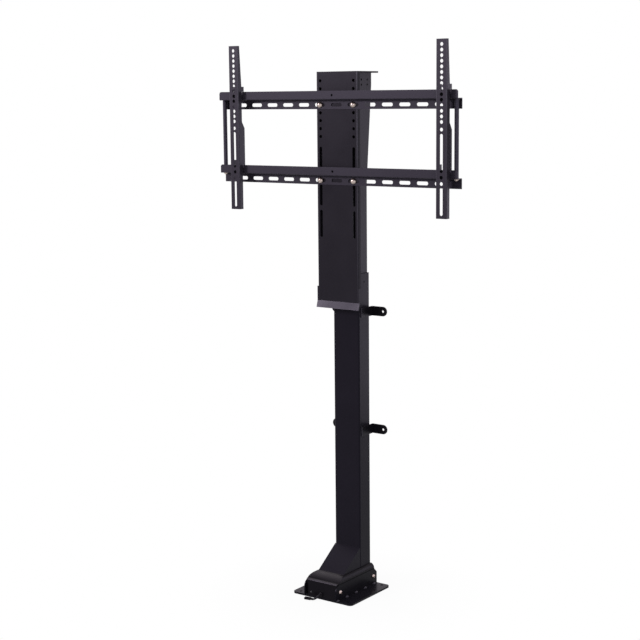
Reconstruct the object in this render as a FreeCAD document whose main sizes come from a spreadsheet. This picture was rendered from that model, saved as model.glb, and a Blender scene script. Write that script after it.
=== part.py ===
import FreeCAD, Part
import math
import os

import Sketcher

# Pop-up screen lift: a floor stand with a telescopic column, a carriage that the inner tube carries
# in front of it, two slotted cross rails and two hook-on hangers for the screen.
# Frame: origin on the underside of the base plate, midway between the side plates and a little in front
# of the plate's centre, -Y to the front, +Z up, raised position.

VECTOR = FreeCAD.Vector
OVERCUT = 1  # how far a cut runs past the face that it leaves through

DRIVING_SIZES = {
    # floor stand
    "base_width": 188, "base_depth": 184, "base_shift": 7.5, "base_thick": 5, "base_corner": 10,
    "base_hole_side_inset": 19, "base_hole_end_inset": 12, "base_hole_dia": 7,
    "side_gap": 96, "side_thick": 3, "side_height": 42, "side_reach": 91,
    "side_back": 99.5, "side_round": 20, "side_chamfer": 12, "side_screw_height": 21, "side_screw_inset": 20,
    "side_screw_back_inset": 16.5,
    # moulded motor cover and the hood above it
    "cover_wall": 2.5, "cover_reach": 84, "cover_back": 87.5, "cover_height": 56.5, "cover_rim": 44,
    "cover_bead": 4.5, "cover_crown_reach": 40, "cover_crown_radius": 64, "shoulder_width": 11,
    "shoulder_radius": 14, "hood_height": 53.5, "hood_wall": 2, "hood_toe_solid": 4, "hood_crest_solid": 2.8,
    # column
    "column_width": 80, "column_depth": 50, "column_wall": 2, "column_corner": 4, "column_height": 840,
    "column_centre": 62, "guide_height": 60, "guide_screw_drop": 22, "guide_screw_dia": 4,
    "tab_height": 25, "tab_thick": 2.5, "tab_reach": 87, "tab_stand": 12, "tab_leg": 52, "tab_hole_dia": 6.5,
    "tab_hole_reach": 75, "tab_drop": 102, "tab_spacing": 314.5,
    # drive
    "spindle_dia": 12, "spindle_top_room": 15, "spindle_guide_height": 10, "wheel_teeth": 20,
    "wheel_pitch_dia": 30, "tooth_height": 3, "tooth_space_root": 1.8, "tooth_space_tip": 3.12,
    "wheel_room": 1, "wheel_thick": 12, "drive_height": 30, "worm_offset": 20, "worm_dia": 6.4,
    "worm_length": 30, "motor_dia": 40, "motor_end_dia": 24, "motor_length": 82, "motor_face": 20,
    "motor_shaft_dia": 5, "case_wall": 4, "case_height": 39, "lid_thick": 8, "bearing_dia": 28,
    "bearing_height": 9, "cradle_length": 40, "cradle_width": 20, "cradle_rise": 15,
    # moving tube
    "raised_height": 1360, "tube_gap": 1.5, "tube_wall": 2, "tube_overlap": 255, "head_thick": 5,
    "nut_dia": 26, "nut_flange_dia": 32.5, "nut_flange": 4, "nut_height": 40, "head_screw_across": 44,
    "head_screw_along": 22,
    # carriage
    "panel_front": 2.5, "panel_thick": 2.5, "panel_width": 127, "panel_return": 10.5, "panel_lip": 11,
    "panel_bend": 3,
    "panel_height": 585, "panel_plain": 37, "panel_spread": 2.5, "lip_height": 18, "lip_kick": 5,
    "flange_depth": 93.5, "flange_thick": 4, "lid_hole_dia": 5.5, "lid_hole_across": 104,
    "lid_hole_along": 62,
    "hole_across": 102, "hole_dia": 8.5, "hole_first": 23, "hole_pitch": 20, "hole_rows": 8,
    "slot_one_drop": 189, "slot_one_length": 150, "slot_two_drop": 350, "slot_two_length": 70,
    "cheek_gap": 115, "cheek_thick": 2, "cheek_depth": 57, "cheek_toe": 34, "cheek_height": 290,
    "cheek_straight": 30, "cheek_hole_dia": 4.5, "cheek_hole_along": 26, "cheek_hole_rise": 12.5,
    "cheek_hole_drop": 21, "cheek_hole_centre": 26,
    # rails
    "rail_length": 731, "rail_thick": 2, "rail_lip": 22, "rail_depth": 22, "rail_foot": 24,
    "rail_drop": 48, "rail_spacing": 191, "rail_corner": 6, "rail_slot_pitch": 51, "rail_slot_length": 33,
    "rail_slot_width": 9, "rail_slot_drop": 35, "rail_slots": 13, "rail_pin_dia": 6.5, "rod_dia": 11,
    "rod_inset": 9,
    # hangers
    "hanger_length": 425, "hanger_rise": 70, "hanger_width": 30, "hanger_thick": 2, "hanger_stand": 18.5,
    "hanger_left_inset": 64, "hanger_right_inset": 34, "hanger_top_depth": 7.5, "hanger_depth": 14,
    "hanger_deep": 24.5, "hook_depth": 23.5, "hook_rise": 13, "hook_finger": 8, "hanger_step_drop": 78,
    "hanger_step_run": 17, "hanger_hole_dia": 9, "hanger_hole_inset": 12.5, "hanger_hole_pitch": 13,
    "hanger_holes": 15, "screen_pitch": 200, "hanger_slot_width": 8.5, "hanger_slot_one": 222.5,
    "hanger_slot_one_length": 93, "hanger_low_hole": 326.5, "hanger_low_pitch": 15, "hanger_slot_two": 349.5,
    "hanger_slot_two_length": 68.5,
    # fasteners
    "bolt_dia": 6, "rail_bolt_head": 16, "rail_bolt_rise": 7, "rail_bolt_end": 5.3, "rail_nut_width": 11,
    "rail_nut_thick": 5, "cover_screw_head": 11, "cover_screw_rise": 4.5, "rod_bolt_head": 12,
    "rod_bolt_rise": 5, "rod_bolt_end": 10,
    "head_screw_head": 9.8, "head_screw_sink": 1.5, "guide_screw_rise": 0.4,
    # fits
    "clearance": 0.3, "running_clearance": 0.05, "screw_clearance": 0.1,
}

# Route of the motor lead from its gland to its connector, and the lead's own sizes.
LEAD_ROUTE = [(-2, -87, 13.7), (-2, -91, 13.7), (-2.7, -94.7, 12.5), (-4.1, -97.7, 10.2), (-6, -99.9, 7.4),
              (-8.9, -101.6, 5.2), (-12.5, -102.8, 4), (-16.4, -103.6, 4), (-20.3, -104.2, 4)]
LEAD_DIA = 5
LEAD_ARC_SHARE = 0.49
GLAND_DIA = 11
GLAND_SLEEVE_DIA = 7
CONNECTOR_LENGTH = 17
CONNECTOR_WIDTH = 9
CONNECTOR_HEIGHT = 6

document = FreeCAD.newDocument("screen_lift")
sheet = document.addObject("Spreadsheet::Sheet", "Sizes")
finished = []


class Size:
    """A number together with the spreadsheet expression that gives it."""

    def __init__(self, value, text):
        self.value = value
        self.text = text

    def __add__(self, other):
        other = as_size(other)
        return Size(self.value + other.value, f"({self.text} + {other.text})")

    def __sub__(self, other):
        other = as_size(other)
        return Size(self.value - other.value, f"({self.text} - {other.text})")

    def __mul__(self, factor):
        return Size(self.value * factor, f"({self.text} * {factor})")

    def __truediv__(self, divisor):
        return Size(self.value / divisor, f"({self.text} / {divisor})")

    def __neg__(self):
        return Size(-self.value, f"(-1 * {self.text})")


def as_size(number):
    return number if isinstance(number, Size) else Size(number, str(number))


def in_order(one, other):
    """Two sizes, the smaller first."""
    return (one, other) if one.value < other.value else (other, one)


class Sizes:
    """The driving sizes, each read back from its cell."""

    def __init__(self, table):
        for row, (alias, number) in enumerate(table.items(), start=1):
            sheet.set(f"A{row}", alias)
            sheet.set(f"B{row}", str(number))
            sheet.setAlias(f"B{row}", alias)
        document.recompute()
        for alias in table:
            setattr(self, alias, Size(float(sheet.get(alias)), f"Sizes.{alias}"))


S = Sizes(DRIVING_SIZES)


def new_body(label):
    body = document.addObject("PartDesign::Body", label)
    body.Label = label
    finished.append(body)
    return body


def new_sketch(body, plane, level):
    """A sketch on one of the body's origin planes, moved along that plane's axis to a level."""
    sketch = body.newObject("Sketcher::SketchObject", "outline")
    support = next(item for item in body.Origin.OriginFeatures if item.Role == plane)
    sketch.AttachmentSupport = [(support, "")]
    sketch.MapMode = "FlatFace"
    level = as_size(level)
    offset = -level if plane == "XZ_Plane" else level
    sketch.AttachmentOffset = FreeCAD.Placement(VECTOR(0, 0, offset.value), FreeCAD.Rotation())
    sketch.setExpression("AttachmentOffset.Base.z", offset.text)
    return sketch


def bind(sketch, kind, geometry, point, size):
    """Ties one coordinate of a sketch point to a size."""
    index = sketch.addConstraint(Sketcher.Constraint(kind, geometry, point, size.value))
    sketch.setExpression(f"Constraints[{index}]", size.text)


def arc_about(centre, first, last):
    """The counter-clockwise arc about a centre from one point to another."""
    angles = [math.atan2(point.y - centre.y, point.x - centre.x) for point in (first, last)]
    circle = Part.Circle(centre, VECTOR(0, 0, 1), (first - centre).Length)
    return Part.ArcOfCircle(circle, angles[0], angles[1])


def arc_between(start, end, radius, side):
    """The short arc from start to end, bulging to the left (side 1) or right (side -1) of the way."""
    chord = end - start
    across = VECTOR(-chord.y, chord.x, 0).normalize()
    sink = math.sqrt(max(radius ** 2 - (chord.Length / 2) ** 2, 0))
    centre = (start + end) / 2 - across * side * sink
    return arc_about(centre, end, start) if side > 0 else arc_about(centre, start, end)


def draw_outline(sketch, corners, arcs=None):
    """A closed outline through the corners; arcs maps a corner's number to (radius, side) of its run."""
    arcs = arcs or {}
    corners = [(as_size(across), as_size(along)) for across, along in corners]
    points = [VECTOR(across.value, along.value, 0) for across, along in corners]
    ends = []
    for number, start in enumerate(points):
        end = points[(number + 1) % len(points)]
        if number in arcs:
            radius, side = as_size(arcs[number][0]), arcs[number][1]
            index = sketch.addGeometry(arc_between(start, end, radius.value, side))
            ends.append((index, 2, 1) if side > 0 else (index, 1, 2))
            size_index = sketch.addConstraint(Sketcher.Constraint("Radius", index, radius.value))
            sketch.setExpression(f"Constraints[{size_index}]", radius.text)
        else:
            index = sketch.addGeometry(Part.LineSegment(start, end))
            ends.append((index, 1, 2))
    for number, (index, first, last) in enumerate(ends):
        after, after_first, _ = ends[(number + 1) % len(ends)]
        sketch.addConstraint(Sketcher.Constraint("Coincident", index, last, after, after_first))
        bind(sketch, "DistanceX", index, first, corners[number][0])
        bind(sketch, "DistanceY", index, first, corners[number][1])


def draw_box(sketch, low, high):
    draw_outline(sketch, [(low[0], low[1]), (high[0], low[1]), (high[0], high[1]), (low[0], high[1])])


def draw_circle(sketch, centre, diameter):
    across, along, diameter = as_size(centre[0]), as_size(centre[1]), as_size(diameter)
    circle = Part.Circle(VECTOR(across.value, along.value, 0), VECTOR(0, 0, 1), diameter.value / 2)
    index = sketch.addGeometry(circle)
    bind(sketch, "DistanceX", index, 3, across)
    bind(sketch, "DistanceY", index, 3, along)
    size_index = sketch.addConstraint(Sketcher.Constraint("Diameter", index, diameter.value))
    sketch.setExpression(f"Constraints[{size_index}]", diameter.text)


def draw_slot(sketch, centre, length, width, upright):
    """A round-ended slot; its long way is the sketch's second axis where upright is true."""
    reach = (as_size(length) - width) / 2
    half = as_size(width) / 2
    across, along = as_size(centre[0]), as_size(centre[1])
    signs = [(1, -1), (1, 1), (-1, 1), (-1, -1)]
    if upright:
        corners = [(across + half * a, along + reach * b) for a, b in signs]
    else:
        corners = [(across + reach * b, along - half * a) for a, b in signs]
    points = [VECTOR(a.value, b.value, 0) for a, b in corners]
    lines = [sketch.addGeometry(Part.LineSegment(points[n], points[n + 1])) for n in (0, 2)]
    caps = []
    for number in (1, 3):
        start, end = points[number], points[(number + 1) % 4]
        caps.append(sketch.addGeometry(arc_about((start + end) / 2, start, end)))
    for line, cap, other in ((lines[0], caps[0], lines[1]), (lines[1], caps[1], lines[0])):
        sketch.addConstraint(Sketcher.Constraint("Tangent", line, 2, cap, 1))
        sketch.addConstraint(Sketcher.Constraint("Coincident", cap, 2, other, 1))
    for line, numbers in ((lines[0], (0, 1)), (lines[1], (2, 3))):
        for point, number in zip((1, 2), numbers):
            bind(sketch, "DistanceX", line, point, corners[number][0])
            bind(sketch, "DistanceY", line, point, corners[number][1])


def extrude(body, plane, low, high, draw, cut=False):
    """Adds, or cuts away, what draw sketches on a plane, from level low to level high along its axis."""
    sketch = new_sketch(body, plane, low)
    draw(sketch)
    before = body.Shape.Volume if cut else 0
    feature = body.newObject("PartDesign::Pocket" if cut else "PartDesign::Pad", "cut" if cut else "pad")
    feature.Profile = sketch
    depth = as_size(high) - low
    feature.Length = depth.value
    feature.setExpression("Length", depth.text)
    feature.Reversed = (plane == "XZ_Plane") != cut
    body.Tip = feature
    document.recompute()
    if cut and body.Shape.Volume > before - 1e-6:
        raise RuntimeError(f"{body.Label}: a cut on {plane} removed nothing")
    return feature


def disc(body, plane, low, high, centre, diameter, cut=False):
    """A round pad, or a bore, from level low to level high."""
    return extrude(body, plane, low, high, lambda s: draw_circle(s, centre, diameter), cut)


def block(body, plane, low, high, near, far, cut=False):
    """A rectangular pad, or cut, between two corners and from level low to level high."""
    return extrude(body, plane, low, high, lambda s: draw_box(s, near, far), cut)


def prism(body, plane, low, high, corners, arcs=None, cut=False):
    """A pad, or cut, of any outline from level low to level high."""
    return extrude(body, plane, low, high, lambda s: draw_outline(s, corners, arcs), cut)


def rounded(half, front, rear, radius):
    """Corners and arcs of a rectangle with rounded corners, half to either side of X 0."""
    x, y0, y1, r = half, front, rear, radius
    corners = [(r - x, y0), (x - r, y0), (x, y0 + r), (x, y1 - r),
               (x - r, y1), (r - x, y1), (-x, y1 - r), (-x, y0 + r)]
    return corners, {1: (r, -1), 3: (r, -1), 5: (r, -1), 7: (r, -1)}


def four_corners(across, along, centre=(0, 0)):
    """The corners of a rectangle of holes."""
    return [(across / 2 * a + centre[0], along / 2 * b + centre[1]) for a in (-1, 1) for b in (-1, 1)]


def revolve(body, plane, draw, axis_role):
    """Turns what draw sketches about one of the body's own axes."""
    sketch = new_sketch(body, plane, 0)
    draw(sketch)
    feature = body.newObject("PartDesign::Revolution", "turned")
    feature.Profile = sketch
    axis = next(item for item in body.Origin.OriginFeatures if item.Role == axis_role)
    feature.ReferenceAxis = (axis, [""])
    feature.Angle = 360
    body.Tip = feature
    document.recompute()
    return feature


def place(body, across, along, up):
    """Moves a body to a place that follows the sizes."""
    for letter, size in zip("xyz", (across, along, up)):
        body.setExpression(f"Placement.Base.{letter}", as_size(size).text)


def group(label, master, places):
    """One node of separate copies of a master solid, each given by a placement."""
    document.recompute()
    finished.remove(master)
    solids = []
    for spot in places:
        solid = master.Shape.copy()
        solid.Placement = spot.multiply(solid.Placement)
        solids.append(solid)
    node = document.addObject("Part::Feature", label)
    node.Label = label
    node.Shape = Part.makeCompound(solids)
    finished.append(node)


def spot(across, along, up, axis=(0, 0, 1)):
    """A placement at a point, with the master's +Z turned to an axis."""
    base = VECTOR(as_size(across).value, as_size(along).value, as_size(up).value)
    return FreeCAD.Placement(base, FreeCAD.Rotation(VECTOR(0, 0, 1), VECTOR(*axis)))


def flat_screw(label, head_dia, head_height, shank_dia, shank_length):
    """A screw whose flat head ends at Z 0, with its shank below the head."""
    body = new_body(label)
    sink, end = -as_size(head_height), -as_size(shank_length)
    extrude(body, "XY_Plane", sink, 0, lambda s: draw_circle(s, (0, 0), head_dia))
    extrude(body, "XY_Plane", end, sink, lambda s: draw_circle(s, (0, 0), shank_dia))
    return body


def dome_screw(label, head_dia, head_height, shank_dia, shank_length):
    """A screw with its head above Z 0 and its shank below, as a turned profile."""
    body = new_body(label)
    head, shank = as_size(head_dia) / 2, as_size(shank_dia) / 2
    height, length = as_size(head_height), as_size(shank_length)
    dome = (head.value ** 2 + height.value ** 2) / (2 * height.value)
    revolve(body, "XZ_Plane", lambda s: draw_outline(
        s, [(0, height), (0, -length), (shank, -length), (shank, 0), (head, 0)], {4: (dome, -1)}), "Z_Axis")
    return body


# Places that several pieces share.
floor_top = S.base_thick
side_inner = S.side_gap / 2
side_outer = side_inner + S.side_thick
side_top = floor_top + S.side_height
cover_top = floor_top + S.cover_height
column_half = S.column_width / 2
column_front = S.column_centre - S.column_depth / 2
column_rear = S.column_centre + S.column_depth / 2
column_top = floor_top + S.column_height
tube_shrink = S.column_wall + S.tube_gap
tube_half = column_half - tube_shrink
tube_front = column_front + tube_shrink
tube_rear = column_rear - tube_shrink
flange_under = S.raised_height - S.flange_thick
tube_top = flange_under - S.head_thick
tube_bottom = column_top - S.tube_overlap
panel_back = S.panel_front + S.panel_thick
panel_half = S.panel_width / 2
rail_front = S.panel_front - S.rail_depth
upper_rail_top = S.raised_height - S.rail_drop
lower_rail_top = upper_rail_top - S.rail_spacing
hanger_front = rail_front - S.hanger_stand
hanger_top = S.raised_height + S.hanger_rise
hanger_bottom = hanger_top - S.hanger_length


def round_tube(body, low, high, half, front, rear, corner, wall):
    """A rectangular tube with rounded edges, standing from low to high."""
    for inset, cut in ((as_size(0), False), (wall, True)):
        corners, arcs = rounded(half - inset, front + inset, rear - inset, corner - inset)
        prism(body, "XY_Plane", low, high, corners, arcs, cut)


def base_plate():
    body = new_body("base_plate")
    middle, half = S.base_shift, S.base_depth / 2
    corners, arcs = rounded(S.base_width / 2, middle - half, middle + half, S.base_corner)
    prism(body, "XY_Plane", 0, floor_top, corners, arcs)

    def holes(sketch):
        across = S.base_width - S.base_hole_side_inset * 2
        along = S.base_depth - S.base_hole_end_inset * 2
        for centre in four_corners(across, along, (0, middle)):
            draw_circle(sketch, centre, S.base_hole_dia)
    extrude(body, "XY_Plane", 0, floor_top, holes, True)


def side_plates():
    """Upright plates beside the cover: large round at the front, chamfer at the back."""
    front, y, r, c = -S.side_reach, S.side_back, S.side_round, S.side_chamfer
    corners = [(front, floor_top), (y, floor_top), (y, side_top - c), (y - c, side_top),
               (front + r, side_top), (front, side_top - r)]
    height = floor_top + S.side_screw_height
    for name, low in (("side_plate_left", -side_outer), ("side_plate_right", side_inner)):
        body = new_body(name)
        prism(body, "YZ_Plane", low, low + S.side_thick, corners, {4: (r, -1)})

        def holes(sketch):
            for along in (front + S.side_screw_inset, y - S.side_screw_back_inset):
                draw_circle(sketch, (along, height), S.bolt_dia + S.screw_clearance * 2)
        extrude(body, "YZ_Plane", low, low + S.side_thick, holes, True)


def cover_profile(inset):
    """Side outline of the cover: front wall, bead, crown that curves up to the flat top, back wall."""
    front, back = inset - S.cover_reach, S.cover_back - inset
    rim, top = floor_top + S.cover_rim - inset, cover_top - inset
    bead = S.cover_bead
    corners = [(front, floor_top), (front, rim - bead), (front + bead, rim), (front + bead * 2, rim),
               (-S.cover_crown_reach, top), (back, top), (back, floor_top)]
    return corners, {1: (bead, 1), 3: (S.cover_crown_radius, 1)}


def motor_cover():
    body = new_body("motor_cover")
    corners, arcs = cover_profile(as_size(0))
    prism(body, "YZ_Plane", -side_outer, side_outer, corners, arcs)
    shoulder = side_outer - S.shoulder_width
    front, back = -S.cover_reach - OVERCUT, S.cover_back + OVERCUT

    def corner_cuts(sketch):
        for sign in (-1, 1):
            past, high = (side_outer + OVERCUT) * sign, cover_top + OVERCUT
            outline = [(shoulder * sign, cover_top), (shoulder * sign, high), (past, high), (past, side_top),
                       (side_outer * sign, side_top)]
            draw_outline(sketch, outline, {4: (S.shoulder_radius, -sign)})
    extrude(body, "XZ_Plane", front, back, corner_cuts, True)

    def side_steps(sketch):
        for sign in (-1, 1):
            low, high = in_order(side_inner * sign, (side_outer + OVERCUT) * sign)
            draw_box(sketch, (low, as_size(0)), (high, side_top))
    extrude(body, "XZ_Plane", front, back, side_steps, True)

    def tapers(sketch):
        wide = S.side_round - S.side_reach
        for sign in (-1, 1):
            past = (side_outer + OVERCUT) * sign
            draw_outline(sketch, [(side_outer * sign, wide), (past, wide), (past, front),
                                  (side_inner * sign, front), (side_inner * sign, -S.cover_reach)])
    extrude(body, "XY_Plane", floor_top, cover_top, tapers, True)
    inner, inner_arcs = cover_profile(S.cover_wall)
    narrow = shoulder - S.cover_wall
    prism(body, "YZ_Plane", -narrow, narrow, inner, inner_arcs, True)
    wide = side_inner - S.cover_wall
    inside = S.cover_wall - S.cover_reach
    ceiling = floor_top + S.cover_rim - S.cover_wall - S.cover_bead
    block(body, "XY_Plane", floor_top, ceiling, (-wide, inside), (wide, S.cover_back - S.cover_wall), True)
    opening = column_half + S.clearance
    block(body, "XY_Plane", floor_top, cover_top + OVERCUT, (-opening, column_front - S.clearance),
          (opening, back), True)
    lead_x, _, lead_z = LEAD_ROUTE[0]
    disc(body, "XZ_Plane", -S.cover_reach, inside, (lead_x, lead_z), GLAND_SLEEVE_DIA, True)


def column_hood():
    """Sloping hood between the cover's flat top and the front of the column."""
    body = new_body("column_hood")
    toe, top = -S.cover_crown_reach, cover_top + S.hood_height
    prism(body, "YZ_Plane", -column_half, column_half,
          [(toe, cover_top), (column_front, cover_top), (column_front, top)])
    inside = column_half - S.hood_wall
    prism(body, "YZ_Plane", -inside, inside,
          [(toe + S.hood_toe_solid, cover_top), (column_front, cover_top),
           (column_front, top - S.hood_crest_solid)], cut=True)


def outer_column():
    body = new_body("outer_column")
    round_tube(body, floor_top, column_top, column_half, column_front, column_rear, S.column_corner,
               S.column_wall)
    snout = S.worm_dia + S.case_wall + S.clearance
    block(body, "XZ_Plane", column_front, column_front + S.column_wall,
          (S.worm_offset - snout, floor_top), (S.worm_offset + snout, S.drive_height + snout), True)
    disc(body, "YZ_Plane", -column_half, column_half, (S.column_centre, column_top - S.guide_screw_drop),
         S.guide_screw_dia + S.screw_clearance * 2, True)


def column_guide():
    """Thin plastic liner at the mouth of the column."""
    body = new_body("column_guide")
    inside = S.column_wall
    low = column_top - S.guide_height
    fit = S.tube_gap - S.running_clearance * 2
    round_tube(body, low, column_top, column_half - inside, column_front + inside, column_rear - inside,
               S.column_corner - inside, fit)
    disc(body, "YZ_Plane", -column_half, column_half, (S.column_centre, column_top - S.guide_screw_drop),
         S.guide_screw_dia, True)


def wall_tabs():
    """Bent straps on the column's sides for fixing it to a cabinet wall."""
    rear = column_rear + S.tab_stand
    end = S.tab_height / 2
    upper = column_top - S.tab_drop
    for level, centre in (("upper", upper), ("lower", upper - S.tab_spacing)):
        low, high = centre - end, centre + end
        for side, sign in (("left", -1), ("right", 1)):
            body = new_body(f"wall_tab_{level}_{side}")
            near, far = in_order(column_half * sign, (column_half + S.tab_thick) * sign)
            block(body, "YZ_Plane", near, far, (rear - S.tab_leg, low), (rear, high))
            inner, tip = column_half * sign, (S.tab_reach - end) * sign
            corners = [(inner, high), (tip, high), (tip, low), (inner, low)]
            extrude(body, "XZ_Plane", rear - S.tab_thick, rear, lambda s: tab_blade(s, corners, end, sign))
            disc(body, "XZ_Plane", rear - S.tab_thick, rear, (S.tab_hole_reach * sign, centre),
                 S.tab_hole_dia, True)


def tab_blade(sketch, corners, radius, sign):
    """Outline of a strap's free leg with a half-round end, drawn as two quarter arcs."""
    tip_x = corners[1][0] + radius * sign
    middle = (corners[1][1] + corners[2][1]) / 2
    outline = [corners[0], corners[1], (tip_x, middle), corners[2], corners[3]]
    draw_outline(sketch, outline, {1: (radius, sign), 2: (radius, sign)})


def drive():
    """Motor, worm, wheel and spindle at the foot of the column."""
    axis_x, axis_y, height = S.worm_offset, S.column_centre, S.drive_height
    spindle_axis, motor_axis = (0, axis_y), (axis_x, height)
    snout = S.worm_dia + S.case_wall
    case_front = column_front + S.column_wall + S.clearance
    case_rear = column_rear - S.column_wall - S.clearance
    end_wall = case_rear - S.case_wall
    wheel_room = S.wheel_pitch_dia / 2 + S.tooth_height / 2 + S.wheel_room
    near, far = (-wheel_room - S.case_wall, case_front), (axis_x + snout, case_rear)
    case_top = floor_top + S.case_height
    lid_top = case_top + S.lid_thick
    wheel_floor = height - S.wheel_thick / 2 - S.clearance
    bearing_low = wheel_floor - S.bearing_height
    spindle_bore = S.spindle_dia + S.running_clearance * 2
    shaft_bore = S.motor_shaft_dia + S.running_clearance * 2

    case = new_body("gearbox_case")
    block(case, "XY_Plane", floor_top, case_top, near, far)
    disc(case, "XZ_Plane", S.motor_face, case_front, motor_axis, snout * 2)
    disc(case, "XY_Plane", wheel_floor, case_top, spindle_axis, wheel_room * 2, True)
    disc(case, "XY_Plane", bearing_low, wheel_floor, spindle_axis, S.bearing_dia, True)
    disc(case, "XZ_Plane", S.motor_face, end_wall, motor_axis, S.worm_dia + S.clearance * 2, True)
    disc(case, "XZ_Plane", end_wall, case_rear, motor_axis, shaft_bore, True)

    lid = new_body("gearbox_lid")
    block(lid, "XY_Plane", case_top, lid_top, near, far)
    disc(lid, "XY_Plane", case_top, lid_top, spindle_axis, spindle_bore, True)

    bearing = new_body("spindle_bearing")
    disc(bearing, "XY_Plane", bearing_low, wheel_floor, spindle_axis, S.bearing_dia)
    disc(bearing, "XY_Plane", bearing_low, wheel_floor, spindle_axis, spindle_bore, True)

    spindle_top = column_top - S.spindle_top_room
    spindle = new_body("spindle")
    disc(spindle, "XY_Plane", bearing_low + S.clearance, spindle_top, spindle_axis, S.spindle_dia)

    guide = new_body("spindle_guide")
    guide_dia = tube_rear - tube_front - S.tube_wall * 2 - S.clearance * 2
    guide_low = spindle_top - S.spindle_guide_height
    disc(guide, "XY_Plane", guide_low, spindle_top, spindle_axis, guide_dia)
    disc(guide, "XY_Plane", guide_low, spindle_top, spindle_axis, S.spindle_dia, True)

    worm_wheel(axis_y, height)

    shaft_end = S.motor_face - S.cradle_length
    shaft = new_body("motor_shaft")
    disc(shaft, "XZ_Plane", shaft_end, case_rear - S.clearance, motor_axis, S.motor_shaft_dia)
    worm = new_body("worm")
    worm_low = axis_y - S.worm_length / 2
    worm_high = worm_low + S.worm_length
    disc(worm, "XZ_Plane", worm_low, worm_high, motor_axis, S.worm_dia)
    disc(worm, "XZ_Plane", worm_low, worm_high, motor_axis, S.motor_shaft_dia, True)

    motor = new_body("motor_body")
    motor_back = S.motor_face - S.motor_length
    disc(motor, "XZ_Plane", motor_back, S.motor_face, motor_axis, S.motor_dia)
    disc(motor, "XZ_Plane", motor_back - S.case_wall, motor_back, motor_axis, S.motor_end_dia)
    disc(motor, "XZ_Plane", shaft_end - S.clearance, S.motor_face, motor_axis, shaft_bore, True)

    cradle = new_body("motor_cradle")
    cradle_low = motor_back + S.cradle_length / 2
    cradle_high = cradle_low + S.cradle_length
    half = S.cradle_width / 2
    block(cradle, "XY_Plane", floor_top, floor_top + S.cradle_rise,
          (axis_x - half, cradle_low), (axis_x + half, cradle_high))
    disc(cradle, "XZ_Plane", cradle_low, cradle_high, motor_axis, S.motor_dia, True)


def worm_wheel(axis_y, height):
    """Toothed wheel on the spindle: one tooth space cut and repeated round the axis."""
    body = new_body("worm_wheel")
    low, high = -S.wheel_thick / 2, S.wheel_thick / 2
    tip = S.wheel_pitch_dia / 2 + S.tooth_height / 2
    disc(body, "XY_Plane", low, high, (0, 0), tip * 2)
    disc(body, "XY_Plane", low, high, (0, 0), S.spindle_dia, True)
    root, past = tip - S.tooth_height, tip + OVERCUT
    half_root, half_tip = S.tooth_space_root / 2, S.tooth_space_tip / 2
    space = prism(body, "XY_Plane", low, high,
                  [(root, -half_root), (past, -half_tip), (past, half_tip), (root, half_root)], cut=True)
    ring = body.newObject("PartDesign::PolarPattern", "teeth")
    ring.Originals = [space]
    ring.Axis = (next(item for item in body.Origin.OriginFeatures if item.Role == "Z_Axis"), [""])
    ring.Angle = 360
    ring.Occurrences = int(S.wheel_teeth.value)
    ring.setExpression("Occurrences", S.wheel_teeth.text)
    body.Tip = ring
    place(body, 0, axis_y, height)


def moving_tube():
    tube = new_body("inner_tube")
    round_tube(tube, tube_bottom, tube_top, tube_half, tube_front, tube_rear,
               S.column_corner - S.tube_gap, S.tube_wall)

    head = new_body("head_plate")
    block(head, "XY_Plane", tube_top, flange_under, (-tube_half, tube_front), (tube_half, tube_rear))
    extrude(head, "XY_Plane", tube_top, flange_under, lambda s: head_holes(s, S.bolt_dia), True)

    axis = (0, S.column_centre)
    fit = S.tube_wall + S.clearance
    carrier = new_body("nut_carrier")
    carrier_top = tube_bottom + S.nut_height
    block(carrier, "XY_Plane", tube_bottom, carrier_top, (fit - tube_half, tube_front + fit),
          (tube_half - fit, tube_rear - fit))
    disc(carrier, "XY_Plane", tube_bottom, carrier_top, axis, S.nut_dia, True)

    nut = new_body("spindle_nut")
    nut_top = carrier_top + S.nut_flange
    disc(nut, "XY_Plane", tube_bottom, carrier_top, axis, S.nut_dia)
    disc(nut, "XY_Plane", carrier_top, nut_top, axis, S.nut_flange_dia)
    disc(nut, "XY_Plane", tube_bottom, nut_top, axis, S.spindle_dia + S.running_clearance * 2, True)


def head_places():
    """Where the four screws stand that hold the carriage's flange on the tube's head."""
    return four_corners(S.head_screw_across, S.head_screw_along, (0, S.column_centre))


def head_holes(sketch, diameter):
    for centre in head_places():
        draw_circle(sketch, centre, diameter)


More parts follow.
